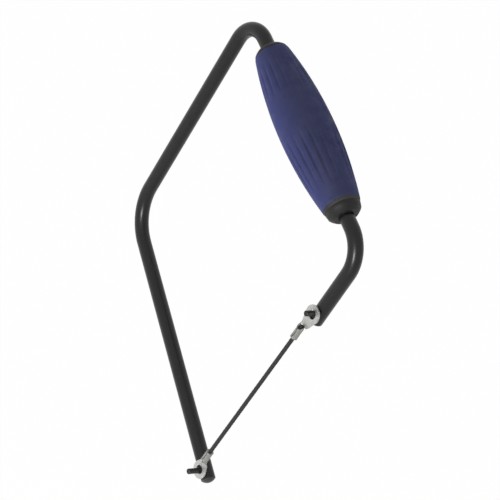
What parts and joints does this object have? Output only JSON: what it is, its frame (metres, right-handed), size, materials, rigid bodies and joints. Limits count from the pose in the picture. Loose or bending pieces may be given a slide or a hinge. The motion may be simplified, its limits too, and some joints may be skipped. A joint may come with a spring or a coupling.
{
  "type": "fret saw",
  "caption": "Fret saw with a bent tube frame, a fluted barrel grip and an abrasive rod blade whose ring lugs hook over two pegs.",
  "frame": {"origin": "on the rear peg's axis, at the height of the blade's centre line; the saw lies on its side", "axes": "+X along the blade from the front peg to the rear peg, +Y from the blade to the back of the frame, +Z along both pegs away from the tube"},
  "size_m": [0.2415, 0.1917, 0.0344],
  "materials": {
    "frame_paint": "satin charcoal powder coat",
    "end_plug": "matte",
    "peg": "blackened steel",
    "grip_core": "matte moulded plastic",
    "grip_sleeve": "soft matte rubber",
    "abrasive_rod": "coarse carbide grit on steel wire",
    "lug": "zinc plated and crimped"
  },
  "bodies": {
    "frame": {"frame_tube": "frame_paint", "rear_plug": "end_plug", "front_plug": "end_plug", "rear_peg": "peg", "front_peg": "peg", "grip_core": "grip_core", "grip_sleeve": "grip_sleeve"},
    "blade": {"blade_rod": "abrasive_rod", "rear_lug": "lug", "front_lug": "lug"}
  },
  "joints": [
    {"name": "blade_lift_off", "type": "slide", "parent": "frame", "child": "blade", "axis": [0, 0, 1], "range_m": [0, 0.01]}
  ]
}
